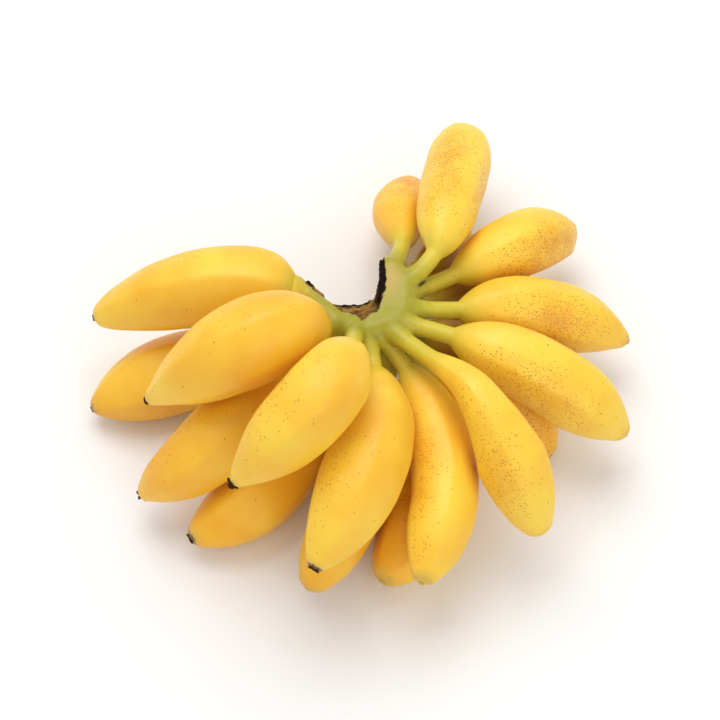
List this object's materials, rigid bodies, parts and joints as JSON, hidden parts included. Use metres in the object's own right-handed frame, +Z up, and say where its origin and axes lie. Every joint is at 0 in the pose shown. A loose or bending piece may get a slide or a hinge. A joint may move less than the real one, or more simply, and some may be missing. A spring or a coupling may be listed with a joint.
{
  "type": "hand of small plantain bananas",
  "caption": "Hand of short, plump yellow plantain bananas fanned in two rows round a green crown with a dry, concave stalk cut.",
  "frame": {"origin": "on the surface that the hand lies on, below the middle of its bounding box", "axes": "+Z up, +X along the longest extent, +Y the way that the crown's stalk cut looks; the fingers fan out towards -X, -Y and +X"},
  "size_m": [0.2437, 0.2362, 0.1136],
  "materials": {
    "peel": "waxy satin banana peel, yellow with small brown freckles",
    "crown": "matte green fruit crown with a dry brown cut"
  },
  "bodies": {
    "root": {"crown": "crown", "near_finger_01": "peel", "near_finger_02": "peel", "near_finger_03": "peel", "near_finger_04": "peel", "near_finger_05": "peel", "near_finger_06": "peel", "near_finger_07": "peel", "near_finger_08": "peel", "near_finger_09": "peel", "near_finger_10": "peel", "near_finger_11": "peel", "far_finger_01": "peel", "far_finger_02": "peel", "far_finger_03": "peel", "far_finger_04": "peel", "far_finger_05": "peel", "far_finger_06": "peel", "far_finger_07": "peel", "far_finger_08": "peel", "far_finger_09": "peel"}
  },
  "joints": []
}
